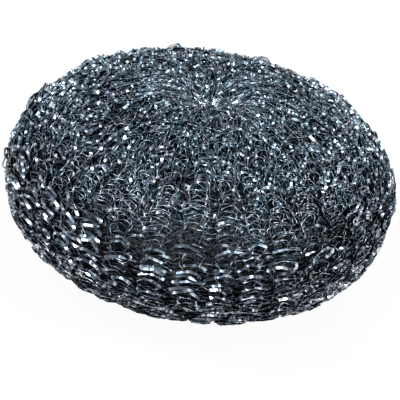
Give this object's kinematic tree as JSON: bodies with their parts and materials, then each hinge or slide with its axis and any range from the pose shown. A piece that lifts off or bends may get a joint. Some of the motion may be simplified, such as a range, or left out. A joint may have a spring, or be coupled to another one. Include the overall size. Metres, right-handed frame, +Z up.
{
  "type": "knitted steel scrubber",
  "caption": "Round scouring pad: a tube knitted from flat steel ribbon, rolled in on itself and gathered at the crown and the underside, for scrubbing pots and pans.",
  "frame": {"origin": "centre of the flat foot, on the surface that the pad stands on", "axes": "+Z up out of the crown's gather, along the axis that the tube is gathered about; X and Y are alike"},
  "size_m": [0.0848, 0.085, 0.0434],
  "materials": {
    "steel_ribbon": "bright flat ribbon, blue-grey in the shade of its own loops, with hard glints"
  },
  "bodies": {
    "root": {"knitted_scrubber": "steel_ribbon"}
  },
  "joints": []
}
